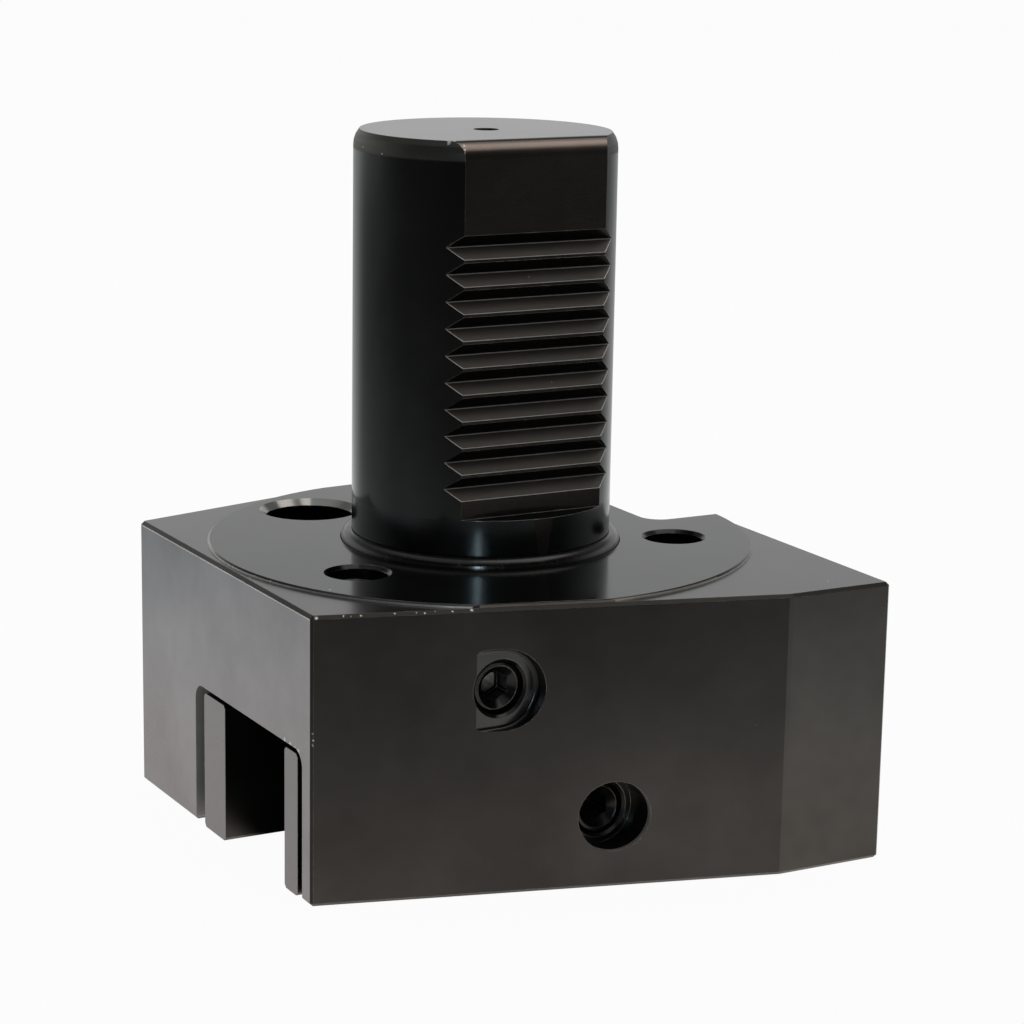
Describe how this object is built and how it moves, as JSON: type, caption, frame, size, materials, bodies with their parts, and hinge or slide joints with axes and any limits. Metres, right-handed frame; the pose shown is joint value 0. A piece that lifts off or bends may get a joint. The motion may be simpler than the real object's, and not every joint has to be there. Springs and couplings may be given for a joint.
{
  "type": "turret tool holder",
  "caption": "Lathe turret tool holder: serrated cylindrical shank with a flat on a turned seating disc, over a block with a clamped cross slot for a square turning tool.",
  "frame": {"origin": "where the shank's axis meets the turned seating face", "axes": "+Z along the shank away from the block, +X along the tool slot to the cutting end, +Y to the side of the clamp screws"},
  "size_m": [0.0857, 0.0945, 0.1065],
  "materials": {
    "holder_steel": "black oxide over turned and milled steel, ground shank and seating face",
    "bar_steel": "black oxide over ground steel",
    "screw_steel": "black oxide",
    "seal_rubber": "smooth black nitrile"
  },
  "bodies": {
    "holder": {"holder_body": "holder_steel", "shank_seal": "seal_rubber", "front_plug": "screw_steel", "port_plug": "screw_steel", "coolant_jet": "screw_steel"},
    "support": {"support_plate": "bar_steel", "support_screw": "screw_steel"},
    "clamp": {"clamping_bar": "bar_steel", "clamp_screw_1": "screw_steel", "clamp_screw_2": "screw_steel", "clamp_screw_3": "screw_steel"}
  },
  "joints": [
    {"name": "support_travel", "type": "slide", "parent": "holder", "child": "support", "axis": [0, 1, 0], "range_m": [-0.0012, 0.002]},
    {"name": "clamp_travel", "type": "slide", "parent": "holder", "child": "clamp", "axis": [0, 1, 0], "range_m": [-0.0058, 0.003]}
  ]
}
